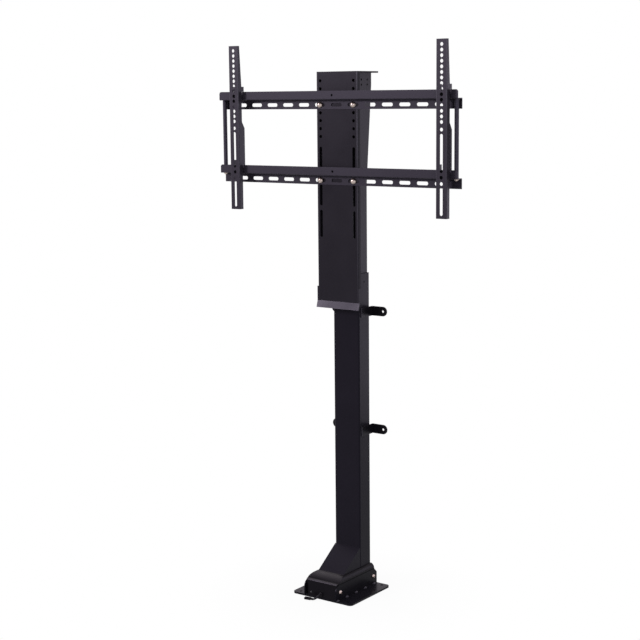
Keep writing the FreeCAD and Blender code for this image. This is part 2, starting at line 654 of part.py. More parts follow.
def carriage_panel():
    """Folded front sheet: lipped side returns, top flange, plain foot and a lip kicked forward."""
    body = new_body("carriage_panel")
    bottom = S.raised_height - S.panel_height
    plain_top = bottom + S.panel_plain
    x, y0, y1, r = panel_half, S.panel_front, panel_back, S.panel_bend
    back, inner, edge = y0 + S.panel_return, x - S.panel_thick, x - S.panel_lip
    lip = back - S.panel_thick
    fold = [(r - x, y0), (x - r, y0), (x, y0 + r), (x, back), (edge, back), (edge, lip), (inner, lip),
            (inner, y1), (-inner, y1), (-inner, lip), (-edge, lip), (-edge, back), (-x, back), (-x, y0 + r)]
    prism(body, "XY_Plane", plain_top, S.raised_height, fold, {1: (r, -1), 13: (r, -1)})
    wide = x + S.panel_spread
    block(body, "XY_Plane", bottom, plain_top, (-wide, y0), (wide, y1))
    low = bottom - S.lip_height
    prism(body, "YZ_Plane", -wide, wide,
          [(y0, bottom), (y0 - S.lip_kick, low), (y1 - S.lip_kick, low), (y1, bottom)])
    block(body, "XY_Plane", flange_under, S.raised_height, (-x, y1), (x, y0 + S.flange_depth))

    def pierced(sketch):
        for sign in (-1, 1):
            across = S.hole_across / 2 * sign
            for row in range(int(S.hole_rows.value)):
                draw_circle(sketch, (across, S.raised_height - S.hole_first - S.hole_pitch * row), S.hole_dia)
            for drop, length in ((S.slot_one_drop, S.slot_one_length), (S.slot_two_drop, S.slot_two_length)):
                draw_slot(sketch, (across, S.raised_height - drop - length / 2), length, S.hole_dia, True)
    extrude(body, "XZ_Plane", y0, y1, pierced, True)

    def flange_holes(sketch):
        head_holes(sketch, S.bolt_dia)
        middle = (0, y0 + S.flange_depth / 2)
        for centre in four_corners(S.lid_hole_across, S.lid_hole_along, middle):
            draw_circle(sketch, centre, S.lid_hole_dia)
    extrude(body, "XY_Plane", flange_under, S.raised_height, flange_holes, True)
    sink_dia = S.head_screw_head + S.screw_clearance * 2
    sink = S.raised_height - S.head_screw_sink
    extrude(body, "XY_Plane", sink, S.raised_height, lambda s: head_holes(s, sink_dia), True)


def carriage_channel():
    """Stiffening channel on the backs of the panel's lips; its cheeks taper below the top flange."""
    body = new_body("carriage_channel")
    inner = S.cheek_gap / 2
    outer = inner + S.cheek_thick
    low, front = flange_under - S.cheek_height, S.panel_front + S.panel_return
    rear, toe = front + S.cheek_depth, front + S.cheek_toe
    prism(body, "YZ_Plane", -outer, outer,
          [(front, low), (toe, low), (rear, flange_under - S.cheek_straight), (rear, flange_under),
           (front, flange_under)])
    block(body, "XY_Plane", low, flange_under, (-inner, front + S.cheek_thick), (inner, rear + OVERCUT), True)

    def holes(sketch):
        top = S.raised_height - S.cheek_hole_drop
        for a in (-1, 1):
            along = front + S.cheek_hole_centre + S.cheek_hole_along / 2 * a
            for row in range(2):
                draw_circle(sketch, (along, top - S.cheek_hole_rise * row), S.cheek_hole_dia)
    extrude(body, "YZ_Plane", -outer, outer, holes, True)


def rails():
    """Z-section cross rails with a row of slots in the lower leg."""
    x, t = S.rail_length / 2, S.rail_thick
    front, back = rail_front, S.panel_front
    for name, top in (("upper_rail", upper_rail_top), ("lower_rail", lower_rail_top)):
        body = new_body(name)
        web = top - S.rail_lip
        foot = web - S.rail_foot
        section = [(front, top), (front, web + t), (front + t, web), (back - t, web), (back - t, foot),
                   (back, foot), (back, web), (back - t, web + t), (front + t, web + t), (front + t, top)]
        prism(body, "YZ_Plane", -x, x, section, {1: (t, -1), 6: (t, -1)})

        def corner_rounds(sketch):
            r = S.rail_corner
            for sign in (-1, 1):
                past = (x + OVERCUT) * sign
                outline = [(x * sign, top - r), (past, top - r), (past, top + OVERCUT),
                           ((x - r) * sign, top + OVERCUT), ((x - r) * sign, top)]
                draw_outline(sketch, outline, {4: (r, sign)})
        extrude(body, "XZ_Plane", front, front + t, corner_rounds, True)

        def slots(sketch):
            count = int(S.rail_slots.value)
            for number in range(count):
                across = S.rail_slot_pitch * (number - (count - 1) / 2)
                centre = (across, top - S.rail_slot_drop)
                draw_slot(sketch, centre, S.rail_slot_length, S.rail_slot_width, False)
        extrude(body, "XZ_Plane", back - t, back, slots, True)
        disc(body, "XZ_Plane", front, front + t, (0, top - S.rail_lip / 2), S.rail_pin_dia, True)

        def rod_holes(sketch):
            for sign in (-1, 1):
                centre = ((x - S.rod_inset) * sign, rod_line())
                draw_circle(sketch, centre, S.bolt_dia + S.screw_clearance * 2)
        extrude(body, "XY_Plane", web, web + t, rod_holes, True)


def rod_line():
    """Where the tie rods stand between the rails' lips and feet."""
    return (rail_front + S.panel_front) / 2


def tie_rods():
    """Rods between the rails: a riveted spigot at the top, a dome bolt from below."""
    low = lower_rail_top - S.rail_lip + S.rail_thick
    high = upper_rail_top - S.rail_lip
    across = S.rail_length / 2 - S.rod_inset
    for name, sign in (("tie_rod_left", -1), ("tie_rod_right", 1)):
        body = new_body(name)
        centre = (across * sign, rod_line())
        disc(body, "XY_Plane", low, high, centre, S.rod_dia)
        disc(body, "XY_Plane", high, high + S.rail_thick, centre, S.bolt_dia)
        disc(body, "XY_Plane", low, low + S.rod_bolt_end + S.bolt_dia, centre,
             S.bolt_dia + S.screw_clearance * 2, True)
    screw = dome_screw("tie_rod_bolt_master", S.rod_bolt_head, S.rod_bolt_rise, S.bolt_dia,
                       S.rail_thick + S.rod_bolt_end)
    under = low - S.rail_thick
    group("tie_rod_bolts", screw, [spot(across * sign, rod_line(), under, (0, 0, -1)) for sign in (-1, 1)])


def fasteners():
    """Dome bolts and nuts of the rails, cover screws, head screws and guide screws."""
    reach = S.rail_thick + S.panel_thick + S.rail_bolt_end
    bolt = dome_screw("rail_bolt_master", S.rail_bolt_head, S.rail_bolt_rise, S.bolt_dia, reach)
    nut = new_body("rail_nut_master")
    corner = S.rail_nut_width / 2
    turns = [n * math.pi / 3 for n in range(6)]
    hexagon = [(corner * math.cos(turn), corner * math.sin(turn)) for turn in turns]
    prism(nut, "XY_Plane", 0, S.rail_nut_thick, hexagon)
    disc(nut, "XY_Plane", 0, S.rail_nut_thick, (0, 0), S.bolt_dia + S.screw_clearance * 2, True)
    bolts, nuts = [], []
    for top in (upper_rail_top, lower_rail_top):
        for sign in (-1, 1):
            across, height = S.hole_across / 2 * sign, top - S.rail_slot_drop
            bolts.append(spot(across, S.panel_front - S.rail_thick, height, (0, -1, 0)))
            nuts.append(spot(across, panel_back, height, (0, 1, 0)))
    group("rail_bolts", bolt, bolts)
    group("rail_nuts", nut, nuts)

    cover_screw = dome_screw("cover_screw_master", S.cover_screw_head, S.cover_screw_rise, S.bolt_dia,
                             S.side_thick)
    height = floor_top + S.side_screw_height
    places = []
    for sign in (-1, 1):
        for along in (S.side_screw_inset - S.side_reach, S.side_back - S.side_screw_back_inset):
            places.append(spot(side_outer * sign, along, height, (sign, 0, 0)))
    group("cover_screws", cover_screw, places)

    head_screw = flat_screw("head_screw_master", S.head_screw_head, S.head_screw_sink,
                            S.bolt_dia - S.screw_clearance * 2, S.flange_thick + S.head_thick)
    group("head_screws", head_screw, [spot(x, y, S.raised_height) for x, y in head_places()])

    length = S.column_wall + S.tube_gap - S.clearance - S.screw_clearance
    guide_screw = dome_screw("guide_screw_master", S.guide_screw_dia, S.guide_screw_rise,
                             S.guide_screw_dia - S.screw_clearance * 2, length)
    height = column_top - S.guide_screw_drop
    places = [spot(column_half * sign, S.column_centre, height, (sign, 0, 0)) for sign in (-1, 1)]
    group("guide_screws", guide_screw, places)


def hangers():
    """Hook-on uprights: folded channels whose side legs hook over the rails, the right leg the deeper."""
    end = S.rail_length / 2
    left, right = S.hanger_left_inset - end, end - S.hanger_right_inset
    for name, centre in (("hanger_left", left), ("hanger_right", right)):
        body = new_body(name)
        hanger(body)
        place(body, centre, hanger_front, 0)


def hanger(body):
    half, t = S.hanger_width / 2, S.hanger_thick
    deep = S.hanger_deep
    top, bottom = hanger_top, hanger_bottom
    section = [(t - half, 0), (half - t, 0), (half, t), (half, deep), (half - t, deep),
               (half - t, t), (t - half, t), (t - half, deep), (-half, deep), (-half, t)]
    prism(body, "XY_Plane", bottom, top, section, {1: (t, -1), 9: (t, -1)})

    lip_far = S.hanger_stand + S.rail_thick + S.clearance
    step = upper_rail_top - S.hanger_step_drop
    past = deep + OVERCUT
    upper_seat, lower_seat = upper_rail_top + S.clearance, lower_rail_top + S.clearance
    hook = upper_rail_top + S.hook_rise
    finger = upper_rail_top - S.hook_finger
    lower_finger = lower_rail_top - S.hook_finger
    shallow = S.hanger_depth
    above = [(S.hanger_top_depth, top), (shallow, hook), (S.hook_depth, hook), (S.hook_depth, finger),
             (lip_far, finger), (lip_far, upper_seat), (shallow, upper_seat), (shallow, step),
             (deep, step - S.hanger_step_run), (past, step - S.hanger_step_run), (past, top)]
    below = [(deep, lower_finger), (lip_far, lower_finger), (lip_far, lower_seat),
             (shallow, lower_seat), (shallow, bottom), (past, bottom), (past, lower_finger)]
    prism(body, "YZ_Plane", -half, half, above, cut=True)
    prism(body, "YZ_Plane", -half, half, below, cut=True)
    block(body, "YZ_Plane", -half, t - half, (shallow, lower_rail_top + S.hook_rise), (past, step), True)

    first = top - S.hanger_hole_inset

    def pierced(sketch):
        for number in range(int(S.hanger_holes.value)):
            draw_circle(sketch, (0, first - S.hanger_hole_pitch * number), S.hanger_hole_dia)
        draw_circle(sketch, (0, first - S.screen_pitch), S.hanger_hole_dia)
        for number in range(2):
            draw_circle(sketch, (0, top - S.hanger_low_hole - S.hanger_low_pitch * number), S.hanger_hole_dia)
        for drop, length in ((S.hanger_slot_one, S.hanger_slot_one_length),
                             (S.hanger_slot_two, S.hanger_slot_two_length)):
            draw_slot(sketch, (0, top - drop - length / 2), length, S.hanger_slot_width, True)
    extrude(body, "XZ_Plane", 0, t, pierced, True)


def motor_lead():
    """Gland in the cover's front wall, the short lead, and the connector at its end."""
    start = VECTOR(*LEAD_ROUTE[0])
    gland = new_body("cable_gland")
    lead_x, lead_y, lead_z = LEAD_ROUTE[0]
    face = -S.cover_reach
    disc(gland, "XZ_Plane", lead_y, face, (lead_x, lead_z), GLAND_DIA)
    disc(gland, "XZ_Plane", face, face + S.cover_wall, (lead_x, lead_z), GLAND_SLEEVE_DIA)

    points = [VECTOR(*point) for point in LEAD_ROUTE]
    edges, at, length = [], points[0], 0
    for number in range(1, len(points) - 1):
        before, corner, after = points[number - 1:number + 2]
        way_in, way_out = (corner - before).normalize(), (after - corner).normalize()
        turn = way_in.getAngle(way_out)
        trim = LEAD_ARC_SHARE * min((corner - before).Length, (after - corner).Length)
        radius = trim / math.tan(turn / 2)
        bisector = (way_out - way_in).normalize()
        crest = corner + bisector * (radius / math.cos(turn / 2) - radius)
        begin, end = corner - way_in * trim, corner + way_out * trim
        edges.append(Part.LineSegment(at, begin).toShape())
        edges.append(Part.Arc(begin, crest, end).toShape())
        length += (begin - at).Length + radius * turn
        print(f"lead bend {number}: radius {radius:.1f} mm")
        at = end
    edges.append(Part.LineSegment(at, points[-1]).toShape())
    length += (points[-1] - at).Length
    section = Part.Wire([Part.Circle(start, points[1] - start, LEAD_DIA / 2).toShape()])
    tube = Part.Wire(edges).makePipeShell([section], True, False)
    ratio = tube.Volume / (math.pi * LEAD_DIA ** 2 / 4 * length)
    print(f"lead length {length:.1f} mm, volume ratio {ratio:.4f}")
    lead = document.addObject("Part::Feature", "motor_lead")
    lead.Label = "motor_lead"
    lead.Shape = tube
    finished.append(lead)

    body = new_body("lead_connector")
    half, rise = CONNECTOR_WIDTH / 2, CONNECTOR_HEIGHT / 2
    way = (points[-1] - points[-2]).normalize()
    block(body, "YZ_Plane", 0, CONNECTOR_LENGTH, (-half, -rise), (half, rise))
    heading = FreeCAD.Rotation(VECTOR(0, 0, 1), math.degrees(math.atan2(way.y, way.x)))
    body.Placement = FreeCAD.Placement(points[-1], heading)


def check_and_write():
    document.recompute()
    for item in document.Objects:
        if "Invalid" in item.State or "Error" in item.State:
            raise RuntimeError(f"{item.Label} failed: {item.State}")
    os.makedirs("parts", exist_ok=True)
    for item in finished:
        shape = item.Shape
        if shape.isNull() or not shape.isValid() or not shape.Solids:
            raise RuntimeError(f"{item.Label} has no valid solid")
    for item in finished:
        item.Shape.exportStep(f"parts/{item.Label}.step")


base_plate()
side_plates()
motor_cover()
column_hood()
outer_column()
column_guide()
wall_tabs()
drive()
moving_tube()
carriage_panel()
carriage_channel()
rails()
tie_rods()
fasteners()
hangers()
motor_lead()
check_and_write()
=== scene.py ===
import math

import bmesh
import bpy
from mathutils import Euler, Matrix, Vector


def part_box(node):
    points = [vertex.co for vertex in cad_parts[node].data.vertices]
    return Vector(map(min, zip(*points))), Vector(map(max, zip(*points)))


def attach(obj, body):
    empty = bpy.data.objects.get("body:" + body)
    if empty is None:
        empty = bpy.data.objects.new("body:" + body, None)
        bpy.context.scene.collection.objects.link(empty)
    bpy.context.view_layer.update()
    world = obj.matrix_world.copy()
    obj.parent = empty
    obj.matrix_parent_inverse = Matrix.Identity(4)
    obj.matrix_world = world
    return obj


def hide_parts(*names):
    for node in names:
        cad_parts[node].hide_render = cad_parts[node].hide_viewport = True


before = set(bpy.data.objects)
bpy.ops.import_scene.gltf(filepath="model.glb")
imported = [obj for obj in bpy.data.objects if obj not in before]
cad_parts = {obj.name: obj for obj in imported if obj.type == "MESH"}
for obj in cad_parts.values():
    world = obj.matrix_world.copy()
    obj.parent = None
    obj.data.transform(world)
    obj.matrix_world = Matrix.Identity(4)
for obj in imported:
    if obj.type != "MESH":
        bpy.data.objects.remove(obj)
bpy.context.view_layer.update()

bl_info = {
    "name": "Screen lift",
    "version": (1, 0, 0),
    "blender": (4, 5, 0),
    "location": "View3D > Sidebar > Screen lift",
    "description": "Dresses a pop-up screen lift: finishes, fasteners, weld beads, motor lead and stage",
    "category": "Object",
}

MM = 0.001
STAND, CARRIAGE = "stand", "carriage"
FORWARD, BACKWARD = Vector((0, -1, 0)), Vector((0, 1, 0))
UP, DOWN = Vector((0, 0, 1)), Vector((0, 0, -1))
COVER_FRONT = -84 * MM  # front wall of the motor cover
SHANK = 2.9 * MM  # radius of the 6 mm bolts' shanks, a little under size
WHITE = (1, 1, 1, 1)
SHEEN = (0.82, 0.78, 1.0, 1.0)  # the violet cast that the dark coats give to what they reflect


def linear(hex_colour):
    """A colour written as sRGB hex, as linear red, green, blue and alpha."""
    parts = [int(hex_colour[i:i + 2], 16) / 255 for i in (1, 3, 5)]
    return tuple(c / 12.92 if c <= 0.04045 else ((c + 0.055) / 1.055) ** 2.4 for c in parts) + (1.0,)


PAINTED_HIGHLIGHT = linear("#46444C")  # painted highlight: the paler tone painted over bends and edges where they would catch the light
PAINTED_RIM_HIGHLIGHT = linear("#353237")  # painted highlight along the motor cover's upper front rim


def colour(name, hex_colour, description):
    """A colour that a user may change."""
    return bpy.props.FloatVectorProperty(
        name=name, description=description, subtype="COLOR", size=4, min=0, max=1, default=linear(hex_colour))


def length(name, millimetres, description):
    """A length that a user may change."""
    return bpy.props.FloatProperty(
        name=name, description=description, default=millimetres * MM, unit="LENGTH")


class LiftFinish(bpy.types.PropertyGroup):
    """Colours of the lift's finishes."""
    # The coats' tones are partly the lift's own and partly painted light: the column's and base's are set
    # darker and the rails' lighter, for light that falls off towards the floor.
    column_coat: colour("Column coat", "#15131A", "Satin powder coat of the column and its hood")
    base_coat: colour("Base coat", "#0D0C11", "Satin powder coat of the base plate")
    side_coat: colour("Side coat", "#0D0C11", "Satin powder coat of the side plates")
    carriage_coat: colour("Carriage coat", "#1A181D", "Satin powder coat of the carriage sheets")
    rail_coat: colour("Rail coat", "#26232B", "Matt powder coat of the rails")
    hanger_coat: colour("Hanger coat", "#242128", "Flat powder coat of the hangers")
    rod_coat: colour("Rod coat", "#34313B", "Smoother coat of the tie rods")
    # The weld coat is far paler than the side plates' coat over the beads: a painted highlight on the beads.
    weld_highlight_coat: colour("Weld coat", "#2B292F", "Coat on the weld beads, thin over their ripples")
    strap_coat: colour("Strap coat", "#100F13", "Satin black coat of the wall straps")
    cover: colour("Cover", "#0C0A0D", "Moulded plastic of the motor cover")
    nickel: colour("Nickel", "#B3A69F", "Bright plate of the bolts")
    zinc: colour("Zinc", "#A9A9A6", "Dull plate of the nuts")
    black_oxide: colour("Black oxide", "#38383A", "Oiled black screws")
    dull_screw: colour("Dull screw", "#060607", "Dull black screws in the column and the cheeks")
    moulded_black: colour("Moulded black", "#0B0A0B", "Gland and connector")
    sheath: colour("Lead sheath", "#1E1D20", "Sheath of the motor lead")
    steel: colour("Steel", "#8E8F91", "Turned steel of the drive and the motor")
    alloy: colour("Alloy", "#9A9B9C", "Cast alloy of the gearbox and the motor's cradle")
    # Rubber also darkens the cover's joint strips, painted shade for the shadow in the joints, and the hanger
    # pads, which stand in for shade behind the hangers' holes.
    rubber: colour("Rubber", "#040405", "Hanger pads and cover seals")
    nylon: colour("Nylon", "#222223", "Sliding pieces and worm wheel")
    bronze: colour("Bronze", "#8A6A36", "Spindle nut")
    floor: colour("Floor", "#C9C9C9", "Plain pale floor")


class LiftSizes(bpy.types.PropertyGroup):
    """Sizes of the small pieces that dress the lift."""
    bead_length: length("Bead length", 13, "Length of a weld bead along the side plate")
    bead_width: length("Bead width", 8, "Width of a weld bead across the base plate")
    bead_height: length("Bead height", 4, "Height of a weld bead")
    bead_pitch: length("Bead pitch", 42, "Step between weld beads")
    socket_depth: length("Socket depth", 2.4, "Depth of the hexagon socket in a bolt head")
    thread_pitch: length("Thread pitch", 1, "Pitch of the bolts' threads")
    washer_thick: length("Washer", 1.2, "Thickness of the nuts' washers")
    lead_length: length("Lead length", 31.7, "Length of the motor lead along its run")
    lead_diameter: length("Lead diameter", 5, "Diameter of the motor lead")
    floor_size: length("Floor size", 14000, "Side of the square floor")


def add_node(tree, kind, inputs=None, **settings):
    """Adds a shader node; an input is a value or another node's output socket."""
    node = tree.nodes.new(kind)
    for name, value in settings.items():
        setattr(node, name, value)
    for key, value in (inputs or {}).items():
        if isinstance(value, bpy.types.NodeSocket):
            tree.links.new(value, node.inputs[key])
        else:
            node.inputs[key].default_value = value
    return node


def new_material(name):
    """An empty node material and its tree."""
    material = bpy.data.materials.new(name)
    material.use_nodes = True
    material.node_tree.nodes.clear()
    return material, material.node_tree


def per_metre(millimetres):
    """Texture scale that repeats about once in so many millimetres of Object coordinates."""
    return 1 / (millimetres * MM)


def shaded(base, share):
    """A colour made darker or lighter by a share."""
    return [c * share for c in base[:3]] + [1]


def within(tree, place, bounds, centre):
    """Share, from 0 to 1, of a place inside bounds. Each is an axis, where the share starts and where it
    is full, in millimetres to either side of the centre."""
    reach = add_node(tree, "ShaderNodeVectorMath", {0: place, 1: centre}, operation="SUBTRACT")
    either_side = add_node(tree, "ShaderNodeVectorMath", {0: reach.outputs["Vector"]}, operation="ABSOLUTE")
    axes = add_node(tree, "ShaderNodeSeparateXYZ", {"Vector": either_side.outputs["Vector"]})
    share = 1.0
    for axis, start, full in bounds:
        share = add_node(tree, "ShaderNodeMapRange", {
            "Value": axes.outputs[axis], "From Min": start * MM, "From Max": full * MM,
            "To Max": share}).outputs["Result"]
    return share


def powder_coat(name, base, roughness, specular, grain=1.6, relief=0.05, thin=(), dry=(), centre=(0, 0, 0)):
    """Baked polyester powder on steel: an even satin skin whose fine orange-peel softens every
    highlight, with slow cloudy changes of tone and gloss where the powder lies thicker.
    The grain is drawn a few times coarser than life, so that it shows. Inside the bounds given for the
    painted highlight the tone is painted paler, standing in for light caught by bends and edges, and where
    the powder fell dry into a fold it is dull."""
    cloud_size, dry_roughness = 90, 0.56
    material, tree = new_material(name)
    place = add_node(tree, "ShaderNodeTexCoord").outputs["Object"]
    cloud = add_node(tree, "ShaderNodeTexNoise", {
        "Vector": place, "Scale": per_metre(cloud_size), "Detail": 3.0})
    peel = add_node(tree, "ShaderNodeTexNoise", {"Vector": place, "Scale": per_metre(grain), "Detail": 2.0})
    tone = add_node(tree, "ShaderNodeMix", {
        "Factor": cloud.outputs["Fac"], "A": shaded(base, 0.86), "B": shaded(base, 1.14)}, data_type="RGBA")
    gloss = add_node(tree, "ShaderNodeMapRange", {
        "Value": cloud.outputs["Fac"], "From Min": 0.3, "From Max": 0.7,
        "To Min": roughness - 0.04, "To Max": roughness + 0.04})
    bump = add_node(tree, "ShaderNodeBump", {
        "Height": peel.outputs["Fac"], "Strength": 0.35, "Distance": relief * MM})
    # Painted highlight: the paler tone mixed in inside the given bounds.
    if thin:
        tone = add_node(tree, "ShaderNodeMix", {
            "Factor": within(tree, place, thin, centre), "A": tone.outputs["Result"], "B": PAINTED_HIGHLIGHT},
            data_type="RGBA")
    if dry:
        gloss = add_node(tree, "ShaderNodeMapRange", {
            "Value": within(tree, place, dry, centre),
            "To Min": gloss.outputs["Result"], "To Max": dry_roughness})
    powder = add_node(tree, "ShaderNodeBsdfPrincipled", {
        "Base Color": tone.outputs["Result"], "Roughness": gloss.outputs["Result"],
        "Normal": bump.outputs["Normal"], "Specular IOR Level": specular, "Specular Tint": SHEEN, "IOR": 1.5})
    add_node(tree, "ShaderNodeOutputMaterial", {"Surface": powder.outputs["BSDF"]})
    return material


def moulded_plastic(name, base, roughness, specular, grain=0.9, rubbed_from=None):
    """Injection-moulded ABS or nylon: the mould's spark-eroded grain gives a soft, slightly uneven sheen.
    Beyond a given height plus reach to the front, in millimetres, the upper front edge is painted paler, a
    painted highlight along the rim."""
    flow_size, fade = 60, 0.5
    material, tree = new_material(name)
    place = add_node(tree, "ShaderNodeTexCoord").outputs["Object"]
    cells = add_node(tree, "ShaderNodeTexVoronoi", {"Vector": place, "Scale": per_metre(grain)})
    flow = add_node(tree, "ShaderNodeTexNoise", {
        "Vector": place, "Scale": per_metre(flow_size), "Detail": 2.0})
    tone = add_node(tree, "ShaderNodeMix", {
        "Factor": flow.outputs["Fac"], "A": shaded(base, 0.88), "B": shaded(base, 1.12)}, data_type="RGBA")
    gloss = add_node(tree, "ShaderNodeMapRange", {
        "Value": flow.outputs["Fac"], "From Min": 0.3, "From Max": 0.7,
        "To Min": roughness - 0.03, "To Max": roughness + 0.05})
    # Painted highlight: the rim is painted paler.
    if rubbed_from is not None:
        axes = add_node(tree, "ShaderNodeSeparateXYZ", {"Vector": place})
        outward = add_node(tree, "ShaderNodeMath", {
            0: axes.outputs["Z"], 1: axes.outputs["Y"]}, operation="SUBTRACT")
        rubbed = add_node(tree, "ShaderNodeMapRange", {
            "Value": outward.outputs[0], "From Min": rubbed_from * MM, "From Max": (rubbed_from + fade) * MM})
        tone = add_node(tree, "ShaderNodeMix", {
            "Factor": rubbed.outputs["Result"], "A": tone.outputs["Result"], "B": PAINTED_RIM_HIGHLIGHT},
            data_type="RGBA")
    bump = add_node(tree, "ShaderNodeBump", {
        "Height": cells.outputs["Distance"], "Strength": 0.25, "Distance": 0.04 * MM})
    plastic = add_node(tree, "ShaderNodeBsdfPrincipled", {
        "Base Color": tone.outputs["Result"], "Roughness": gloss.outputs["Result"],
        "Normal": bump.outputs["Normal"], "Specular IOR Level": specular, "Specular Tint": SHEEN,
        "IOR": 1.53})
    add_node(tree, "ShaderNodeOutputMaterial", {"Surface": plastic.outputs["BSDF"]})
    return material


def plated_metal(name, base, roughness, grain=2.0):
    """Plated or turned metal: mirror-like under a thin haze of fine marks that break up the glint."""
    material, tree = new_material(name)
    place = add_node(tree, "ShaderNodeTexCoord").outputs["Object"]
    marks = add_node(tree, "ShaderNodeTexNoise", {"Vector": place, "Scale": per_metre(grain), "Detail": 4.0})
    tone = add_node(tree, "ShaderNodeMix", {
        "Factor": marks.outputs["Fac"], "A": shaded(base, 0.85), "B": base}, data_type="RGBA")
    gloss = add_node(tree, "ShaderNodeMapRange", {
        "Value": marks.outputs["Fac"], "From Min": 0.35, "From Max": 0.65,
        "To Min": roughness - 0.05, "To Max": roughness + 0.08})
    metal = add_node(tree, "ShaderNodeBsdfPrincipled", {
        "Base Color": tone.outputs["Result"], "Roughness": gloss.outputs["Result"], "Metallic": 1.0})
    add_node(tree, "ShaderNodeOutputMaterial", {"Surface": metal.outputs["BSDF"]})
    return material


def coat(roughness, specular, **settings):
    """Settings of a powder coat or a moulding."""
    return {"roughness": roughness, "specular": specular, **settings}


def hanger_coat(node):
    """Settings of a hanger's coat, with a painted highlight along the front bends that grows towards the top.
    """
    low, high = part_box(node)
    return coat(0.33, 0.135, grain=1.9, relief=0.06,
                thin=[("X", 12.6, 13.4), ("Y", 2.2, 1.2), ("Z", 950, 1420)],
                centre=((low.x + high.x) / 2, low.y, 0))


# The panel's coat has a painted highlight along its front bends, strongest at the top, and is dry and dull on
# the returns behind them.
PANEL_COAT = coat(0.295, 0.083, thin=[("X", 59.5, 60.5), ("Y", 4.4, 3.2), ("Z", 700, 1360)],
                  dry=[("X", 62.6, 63.2), ("Y", 3.6, 4.6)])

# Each finish: how it is made, the material's name, its colour in LiftFinish and its settings.
RECIPES = {
    "column_coat": (powder_coat, "Satin black powder coat", "column_coat", coat(0.31, 0.062)),
    "base_coat": (powder_coat, "Satin black powder coat on plate", "base_coat", coat(0.31, 0.08)),
    "side_coat": (powder_coat, "Satin black powder coat on side plate", "side_coat", coat(0.31, 0.058)),
    "carriage_coat": (powder_coat, "Satin black powder coat on sheet", "carriage_coat", coat(0.295, 0.083)),
    "panel_coat": (powder_coat, "Satin black powder coat on folded sheet", "carriage_coat", PANEL_COAT),
    "rail_coat": (
        powder_coat, "Matt slate powder coat", "rail_coat", coat(0.4, 0.134, grain=1.9, relief=0.06)),
    "hanger_left_coat": (
        powder_coat, "Flat slate powder coat on left hanger", "hanger_coat", hanger_coat("hanger_left")),
    "hanger_right_coat": (
        powder_coat, "Flat slate powder coat on right hanger", "hanger_coat", hanger_coat("hanger_right")),
    "rod_coat": (powder_coat, "Smooth slate powder coat", "rod_coat", coat(0.3, 0.15)),
    # Painted highlight: the beads' paler coat.
    "weld_highlight_coat": (powder_coat, "Powder coat on weld", "weld_highlight_coat", coat(0.34, 0.2)),
    # The straps' legs, within 47 mm of the column's middle front to back, are painted paler: a painted
    # reflection matching the column's sheen on its sides.
    "strap_coat": (
        powder_coat, "Satin black coat on strap", "strap_coat", coat(0.31, 0.085, thin=[("Y", 48, 47)])),
    # The cover carries a painted highlight along its rim.
    "cover": (moulded_plastic, "Moulded ABS cover", "cover", coat(0.28, 0.06, rubbed_from=129.3)),
    "nickel": (plated_metal, "Bright nickel plate", "nickel", {"roughness": 0.36}),
    "zinc": (plated_metal, "Zinc plate", "zinc", {"roughness": 0.36}),
    "black_oxide": (plated_metal, "Black oxide steel", "black_oxide", {"roughness": 0.42}),
    "dull_screw": (powder_coat, "Dull black screw", "dull_screw", coat(0.7, 0.02)),
    "moulded_black": (moulded_plastic, "Moulded black nylon", "moulded_black", coat(0.45, 0.1)),
    "sheath": (moulded_plastic, "Extruded sheath", "sheath", coat(0.5, 0.12)),
    "steel": (plated_metal, "Turned steel", "steel", {"roughness": 0.32}),
    "alloy": (plated_metal, "Cast alloy", "alloy", {"roughness": 0.5}),
    # Dark finish of the joint strips and pads, which stand in for shade.
    "rubber": (moulded_plastic, "Black rubber", "rubber", coat(0.8, 0.02)),
    "nylon": (moulded_plastic, "Machined nylon", "nylon", coat(0.42, 0.4)),
    "bronze": (plated_metal, "Turned bronze", "bronze", {"roughness": 0.34}),
}
FINISHES = {}

# The lift's own pieces that each finish covers.
COATED = {
    "column_coat": ["column_hood", "outer_column"],
    "base_coat": ["base_plate"],
    "side_coat": ["side_plate_left", "side_plate_right"],
    "strap_coat": ["wall_tab_upper_left", "wall_tab_upper_right", "wall_tab_lower_left",
                   "wall_tab_lower_right"],
    "panel_coat": ["carriage_panel"],
    "carriage_coat": ["carriage_channel", "inner_tube", "head_plate"],
    "rail_coat": ["upper_rail", "lower_rail"],
    "hanger_left_coat": ["hanger_left"],
    "hanger_right_coat": ["hanger_right"],
    "rod_coat": ["tie_rod_left", "tie_rod_right"],
    "cover": ["motor_cover"],
    "black_oxide": ["head_screws"],
    "dull_screw": ["guide_screws"],
    "nickel": ["rail_bolts", "cover_screws", "tie_rod_bolts"],
    "zinc": ["rail_nuts"],
    "moulded_black": ["cable_gland", "lead_connector"],
    "sheath": ["motor_lead"],
    "steel": ["spindle", "motor_shaft", "worm", "spindle_bearing", "motor_body"],
    "alloy": ["gearbox_case", "gearbox_lid", "motor_cradle"],
    "nylon": ["column_guide", "spindle_guide", "nut_carrier", "worm_wheel"],
    "bronze": ["spindle_nut"],
}


def finish(name):
    """The lift's finish of that name, made when first asked for."""
    if name not in FINISHES:
        maker, title, hue, settings = RECIPES[name]
        FINISHES[name] = maker(title, getattr(bpy.context.scene.lift_finish, hue), **settings)
    return FINISHES[name]


def deselect_all():
    bpy.ops.object.select_all(action="DESELECT")


def select(pieces):
    """Selects only these pieces, the first of them active."""
    deselect_all()
    for piece in pieces:
        piece.select_set(True)
    bpy.context.view_layer.objects.active = pieces[0]


def joined(pieces):
    """Several pieces made one, in the first one's object."""
    select(pieces)
    if len(pieces) > 1:
        bpy.ops.object.join()
    return bpy.context.object


